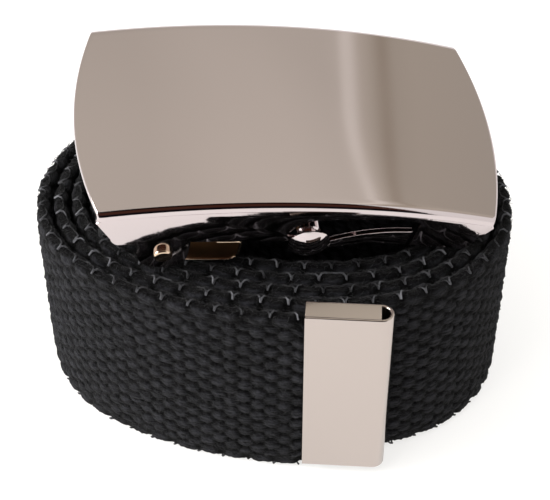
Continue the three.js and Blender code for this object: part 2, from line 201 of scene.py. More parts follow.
def roll_shift():
    """What centres the coil formula on the CAD's web: the middles of both boxes agree."""
    low, high = (np.array(c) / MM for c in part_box("web"))
    ring = roll_points(np.linspace(TIP_START, TIP_START + 1.1, 900))
    mid_x = (ring[:, 0].min() + ring[:, 0].max()) / 2
    back = ring[:, 1].max() + WEB_THICK / 2
    return np.array([(low[0] + high[0]) / 2 - mid_x, high[1] - back, 0.0])


SHIFT = roll_shift()
BUCKLE_AT = np.array([BUCKLE_X, BUCKLE_Y, BUCKLE_Z]) + SHIFT


def in_buckle(points):
    """Points along the buckle (u), across it (w) and above its face (n), placed in the row frame."""
    return BUCKLE_AT + np.asarray(points, float) @ BUCKLE_AXES.T


def face_bow(u):
    """Height of the face's outer skin at u: a shallow bow, falling by u squared over twice its radius."""
    return -np.asarray(u, float) ** 2 / (2 * BOW_RADIUS)


def wall_edge(u):
    """Height of a wall's lower edge at u: the wall's depth and a bow of its own radius."""
    return -WALL_DEPTH - np.asarray(u, float) ** 2 / (2 * WALL_EDGE_RADIUS)


# Materials


def srgb(code):
    """Linear colour of an sRGB hex value."""
    parts = [int(code[i : i + 2], 16) / 255 for i in (1, 3, 5)]
    return [p / 12.92 if p <= 0.04045 else ((p + 0.055) / 1.055) ** 2.4 for p in parts] + [1.0]


def add(tree, kind, inputs=None, **settings):
    """A node of that kind with its settings, and its inputs set to a value or linked to a socket."""
    node = tree.nodes.new(kind)
    for name, value in settings.items():
        setattr(node, name, value)
    for key, value in (inputs or {}).items():
        if isinstance(value, bpy.types.NodeSocket):
            tree.links.new(value, node.inputs[key])
        else:
            node.inputs[key].default_value = value
    return node


def ramp(tree, factor, stops):
    """Colour ramp through (place, hex colour) stops."""
    node = add(tree, "ShaderNodeValToRGB", {"Fac": factor})
    while len(node.color_ramp.elements) < len(stops):
        node.color_ramp.elements.new(0.5)
    for element, (place, code) in zip(node.color_ramp.elements, stops):
        element.position = place
        element.color = srgb(code)
    return node.outputs["Color"]


def new_material(name):
    """An empty node material and its tree."""
    material = bpy.data.materials.new(name)
    material.use_nodes = True
    material.node_tree.nodes.clear()
    return material, material.node_tree


def principled(tree, inputs):
    """The surface shader with its output."""
    shader = add(tree, "ShaderNodeBsdfPrincipled", inputs)
    add(tree, "ShaderNodeOutputMaterial", {"Surface": shader.outputs["BSDF"]})
    return shader


def black_cotton(name, top, deep, sheen):
    """Spun cotton yarn dyed black, warp-faced: soft, matt, slightly grey where the fibres catch the
    light. Between the floats it is near black from painted shade: the colour falls from the top tone
    to the deep tone and near black as the 'proud' attribute falls, shade painted into the hollows.
    The map runs along the strap in u, round it in v, one unit to 100 mm. Fibres lie along the yarn
    about 0.12 mm apart, drawn at 0.4 mm so they show."""
    material, tree = new_material(name)
    uv = add(tree, "ShaderNodeUVMap", uv_map="strap").outputs["UV"]
    slant = add(tree, "ShaderNodeMapping",
                {"Vector": uv, "Rotation": (0, 0, 0.35), "Scale": (50, 190, 1)})
    fibres = add(tree, "ShaderNodeTexNoise",
                 {"Vector": slant.outputs["Vector"], "Scale": 1.0, "Detail": 4.0, "Roughness": 0.65})
    fuzz = add(tree, "ShaderNodeTexNoise",
               {"Vector": uv, "Scale": 170.0, "Detail": 4.0, "Roughness": 0.75})
    wear = add(tree, "ShaderNodeTexNoise", {"Vector": uv, "Scale": 9.0, "Detail": 3.0})
    hollow = add(tree, "ShaderNodeAttribute", attribute_name="proud").outputs["Fac"]
    # Painted shade: the colour falls from the top tone to the deep tone and near black as the surface
    # sinks between the floats and into the selvedge holes.
    shade = ramp(tree, hollow, [(0.0, "#020203"), (0.45, deep), (1.0, top)])
    fibre_tone = ramp(tree, fibres.outputs["Fac"], [(0.36, "#3a3a3a"), (0.62, "#ffffff")])
    toned = add(tree, "ShaderNodeMix", {"Factor": 0.95, 6: shade, 7: fibre_tone},
                data_type="RGBA", blend_type="MULTIPLY")
    wear_tone = ramp(tree, wear.outputs["Fac"], [(0.35, "#d8d8d8"), (0.65, "#ffffff")])
    worn = add(tree, "ShaderNodeMix", {"Factor": 0.7, 6: toned.outputs[2], 7: wear_tone},
               data_type="RGBA", blend_type="MULTIPLY")
    height = add(tree, "ShaderNodeMath", {0: fibres.outputs["Fac"], 1: fuzz.outputs["Fac"]},
                 operation="ADD")
    bump = add(tree, "ShaderNodeBump", {"Strength": 1.0, "Distance": 0.0006, "Height": height.outputs[0]})
    principled(tree, {
        "Base Color": worn.outputs[2], "Roughness": 0.88, "Normal": bump.outputs["Normal"],
        "Sheen Weight": sheen, "Sheen Roughness": 0.45, "Sheen Tint": srgb("#a09f9f"),
        "Specular IOR Level": 0.06,
    })
    return material


def nickel_plate(name, colour, low, high):
    """Nickel plate over polished steel: a warm mirror, with faint polishing lines about 0.2 mm apart
    and a very slightly uneven gloss from handling."""
    material, tree = new_material(name)
    place = add(tree, "ShaderNodeTexCoord").outputs["Object"]
    lines = add(tree, "ShaderNodeMapping", {"Vector": place, "Scale": (300, 5000, 5000)})
    polish = add(tree, "ShaderNodeTexNoise",
                 {"Vector": lines.outputs["Vector"], "Scale": 1.0, "Detail": 2.0})
    cloud = add(tree, "ShaderNodeTexNoise", {"Vector": place, "Scale": 60.0, "Detail": 4.0})
    gloss = add(tree, "ShaderNodeMapRange", {
        "Value": cloud.outputs["Fac"], "From Min": 0.3, "From Max": 0.7, "To Min": low, "To Max": high})
    bump = add(tree, "ShaderNodeBump",
               {"Strength": 0.04, "Distance": 0.00002, "Height": polish.outputs["Fac"]})
    principled(tree, {
        "Base Color": srgb(colour), "Metallic": 1.0, "Roughness": gloss.outputs["Result"],
        "Normal": bump.outputs["Normal"],
    })
    return material


def glow(name, stops, power, axis=0, cross=None):
    """Matt studio paper under soft light: its tone changes along one side of the card by stops, and
    along the other by cross."""
    material, tree = new_material(name)
    uv = add(tree, "ShaderNodeUVMap", uv_map="strap").outputs["UV"]
    parts = add(tree, "ShaderNodeSeparateXYZ", {"Vector": uv})
    colour = ramp(tree, parts.outputs[axis], stops)
    if cross is not None:
        other = ramp(tree, parts.outputs[1 - axis], cross)
        colour = add(tree, "ShaderNodeMix", {"Factor": 1.0, 6: colour, 7: other},
                     data_type="RGBA", blend_type="MULTIPLY").outputs[2]
    light = add(tree, "ShaderNodeEmission", {"Color": colour, "Strength": power})
    add(tree, "ShaderNodeOutputMaterial", {"Surface": light.outputs["Emission"]})
    return material


# Top tone on the proud floats; the deep tone is painted shade between them.
WEB_CLOTH = black_cotton("black_cotton_webbing", "#2c2c30", "#060607", 0.12)
CATCH_THREAD = black_cotton("grey_black_catch_thread", "#929298", "#1b1b1e", 0.3)
NICKEL = nickel_plate("bright_nickel_plate", "#c8bdbd", 0.05, 0.09)
# Painted shade: the tip's base colour is darker than the buckle's nickel, for the darker reflection its
# front shows.
TIP_NICKEL = nickel_plate("brushed_nickel_tip", "#bbb0aa", 0.16, 0.22)
CLAMP_STEEL = nickel_plate("warm_nickel_clamp", "#d6bfa6", 0.1, 0.16)
# Painted reflection: the lever's brown base colour stands for something brown mirrored in its cheeks.
LEVER_PAINTED_REFLECTION = nickel_plate("lever_nickel_painted_brown_reflection", "#8c6644", 0.34, 0.42)


# Meshes


def new_piece(name, points, faces, material, uv=None, proud=None, body="belt", smooth=True):
    """Puts points (mm), faces of one size, an optional map and an optional attribute in a mesh."""
    points = np.asarray(points, float).reshape(-1, 3) * MM
    faces = np.asarray(faces, np.int32)
    sides = faces.shape[1]
    mesh = bpy.data.meshes.new(name)
    mesh.vertices.add(len(points))
    mesh.vertices.foreach_set("co", points.astype(np.float32).ravel())
    mesh.loops.add(faces.size)
    mesh.loops.foreach_set("vertex_index", faces.ravel())
    mesh.polygons.add(len(faces))
    mesh.polygons.foreach_set("loop_start", np.arange(0, faces.size, sides, dtype=np.int32))
    mesh.update(calc_edges=True)
    mesh.polygons.foreach_set("use_smooth", np.full(len(faces), smooth))
    if uv is not None:
        layer = mesh.uv_layers.new(name="strap")
        layer.data.foreach_set("uv", np.asarray(uv, np.float32)[faces.ravel()].ravel())
    if proud is not None:
        mark = mesh.attributes.new("proud", "FLOAT", "POINT")
        mark.data.foreach_set("value", np.asarray(proud, np.float32).ravel())
    mesh.validate()
    piece = bpy.data.objects.new(name, mesh)
    bpy.context.scene.collection.objects.link(piece)
    mesh.materials.append(material)
    if body:
        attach(piece, body)
    return piece


def grid_faces(rows, columns, closed_columns):
    """Quads of a grid of points, its columns joined round or left open: point (r, c) has the number
    r times columns plus c."""
    r = np.arange(rows - 1)[:, None]
    c = np.arange(columns if closed_columns else columns - 1)[None, :]
    n = (c + 1) % columns
    quads = np.stack([r * columns + c, r * columns + n, (r + 1) * columns + n, (r + 1) * columns + c], -1)
    return quads.reshape(-1, 4)


def outward(points, faces):
    """The faces, turned over if the volume they close is negative: a sum of triple products over
    two triangles of each quad."""
    flat = np.asarray(points).reshape(-1, 3)
    a, b, c, d = (flat[faces[:, k]] for k in range(4))
    volume = (np.cross(a, b) * c).sum() + (np.cross(a, c) * d).sum()
    return faces if volume > 0 else faces[:, ::-1]


def closed_rings(rings):
    """Rings of points made a closed body: each end ring is drawn in to its middle."""
    first = np.repeat(rings[0].mean(0)[None], rings.shape[1], 0)
    last = np.repeat(rings[-1].mean(0)[None], rings.shape[1], 0)
    return np.concatenate([first[None], rings, last[None]], 0)


# The strap's line: inside the tip, round the roll, up through the hollow and into the clamp


def catmull(points, samples):
    """Points of a uniform Catmull-Rom curve, as the CAD's: the ends are carried on straight."""
    points = np.asarray(points, float)
    padded = np.concatenate([[2 * points[0] - points[1]], points, [2 * points[-1] - points[-2]]])
    place = np.clip(samples, 0, len(points) - 1 - 1e-9)
    k = np.floor(place).astype(int)
    t = (place - k)[:, None]
    p0, p1, p2, p3 = (padded[k + i] for i in range(4))
    m1, m2 = (p2 - p0) / 2, (p3 - p1) / 2
    return ((2 * t**3 - 3 * t**2 + 1) * p1 + (t**3 - 2 * t**2 + t) * m1
            + (-2 * t**3 + 3 * t**2) * p2 + (t**3 - t**2) * m2)


HOLLOW_HALF = ROLL_HALF - PITCH * 4.25 - WEB_THICK
HOLLOW_FRONT = ROLL_FRONT - PITCH * 4 - WEB_THICK
HOLLOW_BACK = ROLL_BACK - PITCH * 4.5 - WEB_THICK
CLIMB = [
    (0.845, 0.36, 0.053, (0.05, 0.07, 1.00)),
    (0.87, -0.124, 0.145, (0.12, 0.16, 0.98)),
    (0.578, -0.322, 0.237, (0.11, 0.32, 0.94)),
    (0.204, -0.124, 0.303, (0.16, 0.54, 0.82)),
    (-0.289, 0.116, 0.447, (0.16, 0.77, 0.61)),
]
UNDER_BUCKLE = [
    (-0.55, 0.466, 1.128),
    (0.708, 0.253, 1.155),
    (0.735, 0.025, 0.61),
    (0.558, 0.0, 0.326),
]


def strap_line():
    """Centres and across directions of the whole strap in the row frame, and the length along it."""
    first = roll_points([TIP_START])[0]
    ahead = first - roll_points([TIP_START + 0.004])[0]
    ahead /= np.linalg.norm(ahead)
    run = np.arange(TIP_LENGTH - LEAD_IN_STOP, 0.2, -0.4)[:, None]
    lead_in = np.concatenate([first + run * ahead, np.full((len(run), 1), WEB_WIDTH / 2)], 1)
    turns = np.arange(TIP_START, ROLL_TURNS - JOIN_STEP, 0.001)
    coil = np.concatenate([roll_points(turns), np.full((len(turns), 1), WEB_WIDTH / 2)], 1)
    centres, acrosses = [], []
    for back in (2, 1, 0):
        x, y = roll_points([ROLL_TURNS - back * JOIN_STEP])[0]
        centres.append((x, y, WEB_WIDTH / 2))
        acrosses.append((0, 0, 1.0))
    for along, deep, rise, across in CLIMB:
        depth = HOLLOW_FRONT if deep < 0 else HOLLOW_BACK
        centres.append((along * HOLLOW_HALF, deep * depth, WEB_WIDTH * (0.5 + rise)))
        acrosses.append(tuple(np.array(across) / np.linalg.norm(across)))
    centres = [np.array(c) + SHIFT for c in centres]
    over = BUCKLE_AXES[:, 1]
    for left, across, below in UNDER_BUCKLE:
        centres.append(in_buckle((PIN_U - left * PIN_BACK, across * INNER_HALF, -below * LEVER_BOTTOM)))
        acrosses.append(over)
    for k in range(3):
        u = PIN_U + (WEB_END_U - PIN_U) * k / 2
        centres.append(in_buckle((u, 0, face_bow(u) - SHEET - WEB_UNDER_FACE - WEB_THICK / 2)))
        acrosses.append(over)
    samples = np.arange(1.02, len(centres) - 1, 0.02)
    samples = np.append(samples, len(centres) - 1)
    lead = catmull(centres, samples)
    lead_across = catmull(acrosses, samples)
    line = np.concatenate([lead_in + SHIFT, coil + SHIFT, lead])
    across = np.concatenate([np.tile([0, 0, 1.0], (len(lead_in) + len(coil), 1)), lead_across])
    across /= np.linalg.norm(across, axis=1)[:, None]
    low = WEB_WIDTH / 2 * across[:, 2] + WEB_THICK / 2 * np.hypot(across[:, 0], across[:, 1])
    line[:, 2] = np.maximum(line[:, 2], low)
    length = np.concatenate([[0], np.cumsum(np.linalg.norm(np.diff(line, axis=0), axis=1))])
    coil_start = len(lead_in)
    at_turn = (turns, length[coil_start : coil_start + len(coil)])
    return line, across, length, at_turn


LINE, ACROSS, LENGTH, AT_TURN = strap_line()
STRAP_LENGTH = LENGTH[-1]


def strap_frames(s):
    """Centre, across and side directions at lengths s along the strap, smoothed over 2 mm."""
    s = np.asarray(s, float)
    centre = np.stack([np.interp(s, LENGTH, LINE[:, k]) for k in range(3)], -1)
    across = np.stack([np.interp(s, LENGTH, ACROSS[:, k]) for k in range(3)], -1)
    after = np.stack([np.interp(s + 1.0, LENGTH, LINE[:, k]) for k in range(3)], -1)
    before = np.stack([np.interp(s - 1.0, LENGTH, LINE[:, k]) for k in range(3)], -1)
    along = after - before
    along /= np.linalg.norm(along, axis=1)[:, None]
    side = np.cross(along, across)
    side /= np.linalg.norm(side, axis=1)[:, None]
    return centre, across, side


def turn_length(turns):
    """Length along the strap where that many turns are wound."""
    return float(np.interp(turns, *AT_TURN))


VARIETY = np.random.default_rng(11).normal(0, 1, (5, 512, 32))
THREAD_WANDER = np.random.default_rng(7).normal(0, 1, 2000)


def float_field(s, a, face):
    """How proud the warp floats stand: the highest of half ellipsoids, root of 1 minus the squared
    shares along and across, on a staggered lattice with one column every COLUMN along the strap and
    one row every ROW across it, each a little different."""
    best = np.zeros(np.broadcast(s, a).shape)
    column = np.round(s / COLUMN)
    for step in (-1, 0, 1):
        c = column + step
        stagger = 0.5 * np.mod(c + (face > 0), 2)
        row = np.round(a / ROW - stagger)
        ci = np.mod(c, 512).astype(int)
        ri = np.mod(row + 16, 32).astype(int)
        ds = s - c * COLUMN - 0.07 * VARIETY[0, ci, ri]
        da = a - (row + stagger) * ROW - 0.06 * VARIETY[1, ci, ri]
        lean = 0.10 + 0.06 * VARIETY[3, ci, ri]
        ds, da = ds + lean * da, da - lean * ds
        wide = FLOAT_HALF_WIDE + 0.04 * VARIETY[4, ci, ri]
        fill = 1 - (ds / FLOAT_HALF_LONG) ** 2 - (da / wide) ** 2
        best = np.maximum(best, (1 + 0.08 * VARIETY[2, ci, ri]) * np.sqrt(np.clip(fill, 0, None)))
    return np.clip(best, 0, 1.15)


def knuckle_field(s, e, top):
    """How proud the selvedge stands: two rows of half ellipsoids, one every two columns, that roll
    over the strap's edge, the inner row half a step behind the outer one. A bell-shaped hole is
    taken out behind each outer knuckle, where the weft turns back."""
    best = np.zeros(np.broadcast(s, e).shape)
    shifted = s - EDGE_OFFSET * top
    for row, (middle, behind) in enumerate(((-KNUCKLE_ROW, 0.0), (KNUCKLE_ROW, 0.5))):
        along = shifted - behind * KNUCKLE_PITCH
        k = np.round(along / KNUCKLE_PITCH)
        ki = np.mod(k, 512).astype(int)
        ds = along - k * KNUCKLE_PITCH - 0.26 * VARIETY[0, ki, 3 + row]
        fill = 1 - (ds / KNUCKLE_HALF_LONG) ** 2 - ((e - middle) / KNUCKLE_HALF_ROUND) ** 2
        size = np.clip(1 + 0.13 * VARIETY[1, ki, 5 + row], 0.7, 1.2)
        best = np.maximum(best, size * np.sqrt(np.clip(fill, 0, None)))
    ds = shifted - np.round(shifted / KNUCKLE_PITCH) * KNUCKLE_PITCH
    hole = np.exp(-((ds / HOLE_HALF_LONG) ** 2) - ((e - HOLE_PLACE) / HOLE_HALF_ROUND) ** 2)
    return np.maximum(best - HOLE_DEPTH * hole, HOLE_FLOOR)


def section_loop(outer_steps, edge_steps, inner_steps):
    """Base points of the strap's section, once round: a from edge to edge, n through the strap
    (outer face negative), the outward direction, and the distance e round each edge from its
    crest, negative on the outer side. Each edge is half a circle of radius CORE."""
    arc = (np.arange(edge_steps) + 0.5) / edge_steps * pi
    outer, inner = np.asarray(outer_steps), np.asarray(inner_steps)[::-1]
    zero_o, zero_i = np.zeros(len(outer)), np.zeros(len(inner))
    a = np.concatenate([outer, EDGE_A + CORE * np.sin(arc), inner, -EDGE_A - CORE * np.sin(arc)])
    n = np.concatenate([zero_o - CORE, -CORE * np.cos(arc), zero_i + CORE, CORE * np.cos(arc)])
    da = np.concatenate([zero_o, np.sin(arc), zero_i, -np.sin(arc)])
    dn = np.concatenate([zero_o - 1, -np.cos(arc), zero_i + 1, np.cos(arc)])
    e = np.concatenate([np.abs(outer) * 0, CORE * (arc - pi / 2), zero_i, CORE * (pi / 2 - arc)])
    e[: len(outer)] = -(CORE * pi / 2 + EDGE_A - np.abs(outer))
    start = len(outer) + edge_steps
    e[start : start + len(inner)] = CORE * pi / 2 + EDGE_A - np.abs(inner)
    return a, n, da, dn, e


def strap_points(s, loop, narrow=None):
    """The woven surface: the base section pushed out along its outward direction by the floats on
    the faces, the knuckles round the edges and a seeded roughness of loose yarn. Returns points and
    how proud each stands."""
    a, n, da, dn, e = loop
    centre, across, side = strap_frames(s)
    S = s[:, None]
    side_face = np.where(n < 0, -1, 1)
    floats = float_field(S, a[None, :], side_face[None, :])
    knuckles = knuckle_field(S, e[None, :], np.sign(a)[None, :])
    on_face = np.clip((np.abs(e) - FACE_STARTS) / FACE_BLEND, 0, 1)[None, :]
    inner_side = np.clip((e - 0.6) / FACE_BLEND, 0, 1)[None, :] * (1 - on_face)
    proud = on_face * floats + (1 - on_face) * np.maximum(knuckles, 0.75 * inner_side * floats)
    rise = FLOAT_RISE * on_face + KNUCKLE_RISE * (1 - on_face)
    rough = np.random.default_rng(len(s)).normal(0, YARN_ROUGH, proud.shape)
    out = rise * proud + rough
    wide = 1.0 if narrow is None else narrow[:, None]
    aa = (a[None, :] + out * da[None, :]) * wide
    nn = n[None, :] + out * dn[None, :]
    points = centre[:, None] + aa[..., None] * across[:, None] + nn[..., None] * side[:, None]
    return points, proud


def strap_piece(name, start, end, step, loop, narrow=None):
    """One stretch of the strap as a closed woven body, its map one unit to 100 mm along and round."""
    s = np.linspace(start, end, int(round((end - start) / step)) + 1)
    slim = None if narrow is None else narrow(s)
    rings, proud = strap_points(s, loop, slim)
    rings = closed_rings(rings)
    proud = np.concatenate([proud[:1], proud, proud[-1:]])
    s = np.concatenate([s[:1], s, s[-1:]])
    a, n = loop[:2]
    around = np.concatenate([[0], np.cumsum(np.hypot(np.diff(a), np.diff(n)))])
    uv = np.stack(np.broadcast_arrays(s[:, None] / 100, around[None, :] / 100), -1).reshape(-1, 2)
    faces = outward(rings, grid_faces(len(rings), len(a), True))
    return new_piece(name, rings, faces, WEB_CLOTH, uv, proud)


def tip_taper(s):
    """The strap is narrower where the tip's flaps close over its edges, and widens smoothly behind
    them: share squared times three less two shares."""
    share = np.clip((s - (TIP_LENGTH - LEAD_IN_STOP)) / TAPER_RUN, 0, 1)
    slim = 1 - 2 * (TIP_SHEET + TIP_FIT) / WEB_WIDTH
    return slim + (1 - slim) * share * share * (3 - 2 * share)


def spread(step):
    """Points from edge to edge of a face, that far apart."""
    return np.linspace(-EDGE_A, EDGE_A, int(round(2 * EDGE_A / step)) + 1)


def edge_spread(step, reach, middle):
    """Points that are close together near both edges of a face and far apart between."""
    fine = np.arange(0, reach, step)
    half = np.concatenate([-EDGE_A + fine, -EDGE_A + np.linspace(reach, EDGE_A, middle)])
    return np.unique(np.round(np.concatenate([half, -half]), 4))


OUTER_END = turn_length(TIP_START + 1.03)
LAST_TURN = turn_length(ROLL_TURNS - 1.02)
strap_piece("web_outer_turn", 4.0, OUTER_END, 0.42,
            section_loop(spread(0.42), 9, edge_spread(0.5, 2.0, 7)), tip_taper)
strap_piece("web_middle_turns", OUTER_END, LAST_TURN, 0.48,
            section_loop(edge_spread(0.5, 2.6, 3), 9, edge_spread(0.5, 2.6, 3)))
strap_piece("web_inner_turn_and_lead", LAST_TURN, STRAP_LENGTH, 0.62,
            section_loop(spread(0.66), 7, spread(0.66)))
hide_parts("web")


def tubes(lines, radius, sides):
    """Thin round threads along many lines of equally many points: rings square to each line, of one
    radius, a radius for each point along, or a radius for each point of each line."""
    count, length = lines.shape[:2]
    along = np.gradient(lines, axis=1)
    along /= np.linalg.norm(along, axis=2)[..., None] + 1e-9
    helper = np.where(np.abs(along[..., 2:3]) < 0.8, np.array([0, 0, 1.0]), np.array([1.0, 0, 0]))
    one = np.cross(along, helper)
    one /= np.linalg.norm(one, axis=2)[..., None] + 1e-9
    two = np.cross(along, one)
    angle = np.arange(sides) / sides * 2 * pi
    girth = radius if np.ndim(radius) == 0 else np.reshape(radius, (-1, length, 1, 1))
    ring = np.cos(angle)[:, None] * one[:, :, None] + np.sin(angle)[:, None] * two[:, :, None]
    points = lines[:, :, None] + girth * ring
    base = grid_faces(length, sides, True)
    faces = (base[None] + (np.arange(count) * length * sides)[:, None, None]).reshape(-1, 4)
    return points.reshape(-1, 3), faces


def catch_threads():
    """The grey thread that locks each selvedge: over every knuckle in an arch behind its hole, then a
    hook between two knuckles that reaches towards the outer face. It is thicker at the hooks, where
    it stands free, and painted lighter there as a highlight; elsewhere its colour is painted darker
    as shade, with a little random change along it. Hooks and knots are bells about the middle of each
    step."""
    rows, swell_and_painted_highlight = [], []
    s = np.arange(TIP_LENGTH - 3.0, STRAP_LENGTH - 0.5, THREAD_STEP)
    marks = np.arange(0, STRAP_LENGTH + 2, 1.1)
    wander = np.interp(s, marks, THREAD_WANDER[: len(marks)])
    for top in (1, -1):
        phase = (s - EDGE_OFFSET * top) / KNUCKLE_PITCH
        share = phase - np.floor(phase)
        middle = share - 0.5
        knot = np.exp(-((middle / 0.11) ** 2))
        hook = np.exp(-((middle / 0.22) ** 2))
        arch = np.sin(pi * np.mod(share + 0.5, 1.0))
        e = HOLE_PLACE + 0.65 * arch - 0.85 * knot
        swing = 0.75 * np.sin(2 * pi * middle) * np.exp(-((middle / 0.2) ** 2))
        centre, across, side = strap_frames(s - swing)
        knuckles = knuckle_field(s - swing, e, top)
        reach = CORE + KNUCKLE_RISE * np.clip(knuckles, 0.4, None) - 0.12 + 0.36 * hook + 0.13 * wander
        theta = e / CORE
        a = top * (EDGE_A + reach * np.cos(theta))
        n = reach * np.sin(theta)
        rows.append(centre + a[:, None] * across + n[:, None] * side)
        swell_and_painted_highlight.append(np.clip(0.3 + 0.55 * hook + 0.2 * wander, 0, 1))
    swell_and_painted_highlight = np.stack(swell_and_painted_highlight)
    points, faces = tubes(np.stack(rows), THREAD_THIN + THREAD_SWELL * swell_and_painted_highlight, THREAD_SIDES)
    uv = np.stack(np.broadcast_arrays(s[None, :, None] / 100, np.arange(THREAD_SIDES) / 200.0), -1)
    uv = np.repeat(uv, 2, 0).reshape(-1, 2)
    # Painted highlight and shade: the same share, stored as 'proud', makes the thread lighter at the
    # hooks and darker where it lies in.
    proud = np.repeat(swell_and_painted_highlight.ravel(), THREAD_SIDES)
    return new_piece("web_catch_threads", points, faces, CATCH_THREAD, uv, proud)


catch_threads()


def fuzz():
    """Loose fibres on the selvedges and the outer face: short bowed hairs of three rings, from a
    root on the surface, a little outwards and mostly along it, seeded."""
    rng = np.random.default_rng(5)
    count = HAIRS
    on_edge = rng.random(count) < HAIRS_ON_EDGES
    s = np.where(on_edge, rng.uniform(14, STRAP_LENGTH - 60, count), rng.uniform(14, OUTER_END, count))
    centre, across, side = strap_frames(s)
    theta = np.where(on_edge, rng.uniform(-1.2, 1.0, count), 0)
    reach = CORE + 0.4
    a = np.where(on_edge, EDGE_A + reach * np.cos(theta), rng.uniform(-17, 17, count))
    n = np.where(on_edge, reach * np.sin(theta), -(CORE + 0.5))
    root = centre + a[:, None] * across + n[:, None] * side
    out = np.where(on_edge, np.cos(theta), 0)[:, None] * across
    out = out + np.where(on_edge, np.sin(theta), -1.0)[:, None] * side
    along = np.cross(across, side)
    lean = rng.normal(0, 1, (count, 3))
    lean -= (lean * out).sum(1)[:, None] * out
    size = np.where(on_edge, rng.uniform(0.3, 1.0, count), rng.uniform(0.3, 0.9, count))[:, None]
    mid = root + size * (0.22 * out + 0.3 * lean)
    end = root + size * (0.2 * out + 0.7 * lean + 0.1 * along)
    low = np.minimum(mid[:, 2], end[:, 2])
    keep = low > 0.2
    lines = np.stack([root, mid, end], 1)[keep]
    points, faces = tubes(lines, np.array(HAIR_RADII), 3)
    uv = np.zeros((len(points), 2))
    tone = np.full(len(points), 0.42)
    return new_piece("web_fuzz", points, faces, CATCH_THREAD, uv, tone)


fuzz()


# Metal pieces


def rounded_plate(outline, from_w, to_w, edge):
    """A flat plate: an outline in the u-n plane carried across the buckle, its rims rounded with a
    quarter circle of radius edge, and its two flat sides filled. Outline runs once round."""
    outline = np.asarray(outline, float)
    after = np.roll(outline, -1, 0)
    if np.sum(outline[:, 0] * after[:, 1] - after[:, 0] * outline[:, 1]) < 0:
        outline = outline[::-1]
    ahead = np.roll(outline, -1, 0) - outline
    ahead /= np.linalg.norm(ahead, axis=1)[:, None]
    inward_next = np.stack([-ahead[:, 1], ahead[:, 0]], -1)
    inward_last = np.roll(inward_next, 1, 0)
    mitre = inward_next + inward_last
    mitre /= np.maximum((mitre * inward_next).sum(1), 0.45)[:, None]
    rings = []
    for side, w in ((-1, from_w), (1, to_w)):
        angles = np.linspace(0, pi / 2, 4) if side < 0 else np.linspace(pi / 2, 0, 4)
        for angle in angles:
            inset = edge * (1 - np.sin(angle))
            depth = w - side * edge * (1 - np.cos(angle))
            plan = outline + inset * mitre
            rings.append(np.stack([plan[:, 0], np.full(len(plan), depth), plan[:, 1]], -1))
    return np.stack(rings)


def plate_piece(name, parts, place, material):
    """Plates (rings of points) as one mesh: their rims as quads and their sides as flat faces."""
    points, faces = [], []
    base = 0
    for rings in parts:
        count = rings.shape[1]
        flat = rings.reshape(-1, 3)
        quads = grid_faces(len(rings), count, True) + base
        faces += [tuple(q) for q in quads.tolist()]
        faces.append(tuple(range(base + count - 1, base - 1, -1)))
        last = base + (len(rings) - 1) * count
        faces.append(tuple(range(last, last + count)))
        points.append(flat)
        base += len(flat)
    points = place(np.concatenate(points)) * MM
    mesh = bpy.data.meshes.new(name)
    mesh.from_pydata(points.tolist(), [], faces)
    mesh.validate()
    mesh.update()
    piece = bpy.data.objects.new(name, mesh)
    bpy.context.scene.collection.objects.link(piece)
    mesh.materials.append(material)
    bpy.context.view_layer.objects.active = piece
    piece.select_set(True)
    bpy.ops.object.mode_set(mode="EDIT")
    bpy.ops.mesh.select_all(action="SELECT")
    bpy.ops.mesh.normals_make_consistent(inside=False)
    bpy.ops.object.mode_set(mode="OBJECT")
    bpy.ops.object.shade_smooth_by_angle(angle=radians(35))
    piece.select_set(False)
    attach(piece, "belt")
    return piece


def arc_points(centre, radius, start, end, count):
    """Points on a circle from one angle to another."""
    angle = np.linspace(start, end, count)
    return np.stack([centre[0] + radius * np.cos(angle), centre[1] + radius * np.sin(angle)], -1)


def quad_curve(p0, p1, p2, count):
    """Points on a quadratic Bezier curve, without its first point."""
    t = np.linspace(0, 1, count)[1:, None]
    return (1 - t) ** 2 * np.array(p0) + 2 * t * (1 - t) * np.array(p1) + t**2 * np.array(p2)


